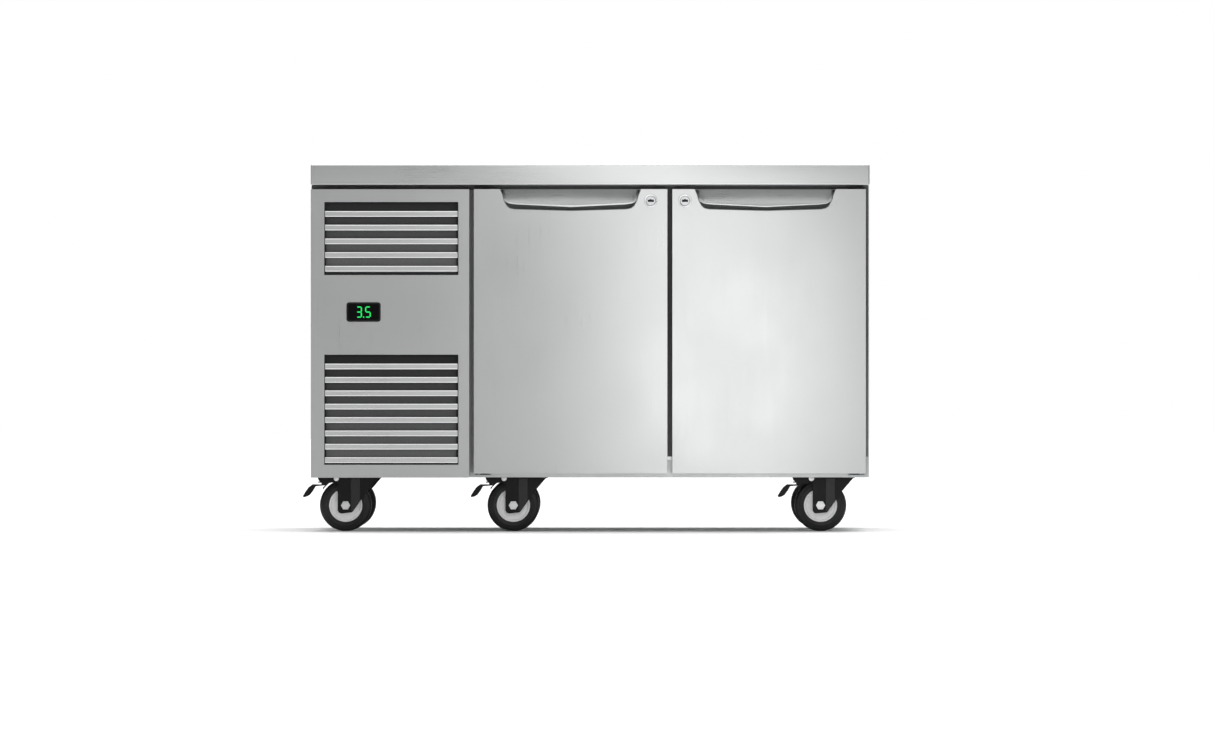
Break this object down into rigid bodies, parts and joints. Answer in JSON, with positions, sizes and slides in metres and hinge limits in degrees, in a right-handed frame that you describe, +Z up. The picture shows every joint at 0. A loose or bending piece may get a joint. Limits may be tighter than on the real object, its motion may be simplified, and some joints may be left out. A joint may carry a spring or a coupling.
{
  "type": "under counter fridge",
  "caption": "Stainless under counter fridge with hinged doors, recessed pulls, a side machine bay with grilles and a display, wire shelves and braked swivel castors.",
  "frame": {"origin": "on the floor, under the middle of the overall size, which takes in the brake pedals that reach past the cabinet's left side", "axes": "+X to the right along the width, -Y out of the front, +Z up"},
  "size_m": [1.3624, 0.7, 0.88],
  "materials": {
    "worktop_steel": "satin",
    "body_steel": "satin",
    "front_steel": "satin",
    "grille_steel": "satin",
    "liner_steel": "satin",
    "bracket_steel": "satin",
    "galvanised_steel": "matte",
    "shelf_wire": "gloss",
    "lock_chrome": "gloss",
    "black_steel": "satin",
    "zinc": "satin",
    "aluminium_fins": "satin",
    "tyre_rubber": "matte",
    "gasket_rubber": "matte",
    "display_plastic": "gloss",
    "black_plastic": "satin",
    "white_plastic": "satin",
    "door_core": "satin",
    "foam": "matte"
  },
  "bodies": {
    "root": {"worktop": "worktop_steel", "outer_casing": "body_steel", "left_side_panel": "body_steel", "insulation_foam": "foam", "inner_liner": "liner_steel", "centre_mullion": "liner_steel", "service_panel": "front_steel", "upper_grille": "grille_steel", "lower_grille": "grille_steel", "controller": "display_plastic", "condenser_coil": "aluminium_fins", "condenser_fan_shroud": "black_steel", "compressor": "black_steel", "evaporator_coil": "aluminium_fins", "evaporator_cover": "white_plastic", "shelf_left": "shelf_wire", "shelf_right": "shelf_wire", "shelf_support_left": "liner_steel", "shelf_support_centre": "liner_steel", "shelf_support_right": "liner_steel", "hinge_left_top": "bracket_steel", "hinge_left_bottom": "bracket_steel", "hinge_right_top": "bracket_steel", "hinge_right_bottom": "bracket_steel", "castor_rail_left": "galvanised_steel", "castor_rail_middle": "galvanised_steel", "castor_rail_right": "galvanised_steel"},
    "door_left": {"door_left_skin": "front_steel", "door_left_core": "door_core", "door_left_gasket": "gasket_rubber", "door_left_handle": "front_steel"},
    "lock_left": {"lock_left": "lock_chrome"},
    "door_right": {"door_right_skin": "front_steel", "door_right_core": "door_core", "door_right_gasket": "gasket_rubber", "door_right_handle": "front_steel"},
    "lock_right": {"lock_right": "lock_chrome"},
    "condenser_fan": {"condenser_fan": "black_plastic"},
    "evaporator_fan": {"evaporator_fan": "black_plastic"},
    "swivel_front_left": {"castor_fork_front_left": "black_steel"},
    "wheel_front_left": {"castor_tyre_front_left": "tyre_rubber", "castor_hub_front_left": "zinc"},
    "brake_left": {"brake_pedal_left": "black_steel"},
    "swivel_rear_left": {"castor_fork_rear_left": "black_steel"},
    "wheel_rear_left": {"castor_tyre_rear_left": "tyre_rubber", "castor_hub_rear_left": "zinc"},
    "swivel_front_middle": {"castor_fork_front_middle": "black_steel"},
    "wheel_front_middle": {"castor_tyre_front_middle": "tyre_rubber", "castor_hub_front_middle": "zinc"},
    "brake_middle": {"brake_pedal_middle": "black_steel"},
    "swivel_rear_middle": {"castor_fork_rear_middle": "black_steel"},
    "wheel_rear_middle": {"castor_tyre_rear_middle": "tyre_rubber", "castor_hub_rear_middle": "zinc"},
    "swivel_front_right": {"castor_fork_front_right": "black_steel"},
    "wheel_front_right": {"castor_tyre_front_right": "tyre_rubber", "castor_hub_front_right": "zinc"},
    "brake_right": {"brake_pedal_right": "black_steel"},
    "swivel_rear_right": {"castor_fork_rear_right": "black_steel"},
    "wheel_rear_right": {"castor_tyre_rear_right": "tyre_rubber", "castor_hub_rear_right": "zinc"}
  },
  "joints": [
    {"name": "door_left_hinge", "type": "hinge", "parent": "root", "child": "door_left", "pos_m": [-0.2558, -0.33, 0.481], "axis": [0, 0, -1], "range_deg": [0, 105]},
    {"name": "door_right_hinge", "type": "hinge", "parent": "root", "child": "door_right", "pos_m": [0.6602, -0.33, 0.481], "axis": [0, 0, 1], "range_deg": [0, 105]},
    {"name": "lock_left_turn", "type": "hinge", "parent": "door_left", "child": "lock_left", "pos_m": [0.1565, -0.342, 0.794], "axis": [0, 1, 0], "range_deg": [0, 90]},
    {"name": "lock_right_turn", "type": "hinge", "parent": "door_right", "child": "lock_right", "pos_m": [0.2385, -0.342, 0.794], "axis": [0, 1, 0], "range_deg": [0, 90]},
    {"name": "condenser_fan_spin", "type": "hinge", "parent": "root", "child": "condenser_fan", "pos_m": [-0.4638, -0.171, 0.301], "axis": [0, 1, 0], "continuous": true},
    {"name": "evaporator_fan_spin", "type": "hinge", "parent": "root", "child": "evaporator_fan", "pos_m": [-0.2308, 0.13255, 0.6517], "axis": [1, 0, 0], "continuous": true},
    {"name": "swivel_front_left_turn", "type": "hinge", "parent": "root", "child": "swivel_front_left", "pos_m": [-0.5382, -0.21, 0.1408], "axis": [0, 0, 1], "continuous": true},
    {"name": "wheel_front_left_spin", "type": "hinge", "parent": "swivel_front_left", "child": "wheel_front_left", "pos_m": [-0.5782, -0.21, 0.0622], "axis": [0, 1, 0], "continuous": true},
    {"name": "brake_left_press", "type": "hinge", "parent": "swivel_front_left", "child": "brake_left", "pos_m": [-0.6002, -0.21, 0.127], "axis": [0, -1, 0], "range_deg": [0, 5]},
    {"name": "swivel_rear_left_turn", "type": "hinge", "parent": "root", "child": "swivel_rear_left", "pos_m": [-0.5382, 0.26, 0.1408], "axis": [0, 0, 1], "continuous": true},
    {"name": "wheel_rear_left_spin", "type": "hinge", "parent": "swivel_rear_left", "child": "wheel_rear_left", "pos_m": [-0.5782, 0.26, 0.0622], "axis": [0, 1, 0], "continuous": true},
    {"name": "swivel_front_middle_turn", "type": "hinge", "parent": "root", "child": "swivel_front_middle", "pos_m": [-0.1342, -0.21, 0.1408], "axis": [0, 0, 1], "continuous": true},
    {"name": "wheel_front_middle_spin", "type": "hinge", "parent": "swivel_front_middle", "child": "wheel_front_middle", "pos_m": [-0.1742, -0.21, 0.0622], "axis": [0, 1, 0], "continuous": true},
    {"name": "brake_middle_press", "type": "hinge", "parent": "swivel_front_middle", "child": "brake_middle", "pos_m": [-0.1962, -0.21, 0.127], "axis": [0, -1, 0], "range_deg": [0, 5]},
    {"name": "swivel_rear_middle_turn", "type": "hinge", "parent": "root", "child": "swivel_rear_middle", "pos_m": [-0.1342, 0.26, 0.1408], "axis": [0, 0, 1], "continuous": true},
    {"name": "wheel_rear_middle_spin", "type": "hinge", "parent": "swivel_rear_middle", "child": "wheel_rear_middle", "pos_m": [-0.1742, 0.26, 0.0622], "axis": [0, 1, 0], "continuous": true},
    {"name": "swivel_front_right_turn", "type": "hinge", "parent": "root", "child": "swivel_front_right", "pos_m": [0.6059, -0.21, 0.1408], "axis": [0, 0, 1], "continuous": true},
    {"name": "wheel_front_right_spin", "type": "hinge", "parent": "swivel_front_right", "child": "wheel_front_right", "pos_m": [0.5659, -0.21, 0.0622], "axis": [0, 1, 0], "continuous": true},
    {"name": "brake_right_press", "type": "hinge", "parent": "swivel_front_right", "child": "brake_right", "pos_m": [0.5439, -0.21, 0.127], "axis": [0, -1, 0], "range_deg": [0, 5]},
    {"name": "swivel_rear_right_turn", "type": "hinge", "parent": "root", "child": "swivel_rear_right", "pos_m": [0.6059, 0.26, 0.1408], "axis": [0, 0, 1], "continuous": true},
    {"name": "wheel_rear_right_spin", "type": "hinge", "parent": "swivel_rear_right", "child": "wheel_rear_right", "pos_m": [0.5659, 0.26, 0.0622], "axis": [0, 1, 0], "continuous": true}
  ]
}
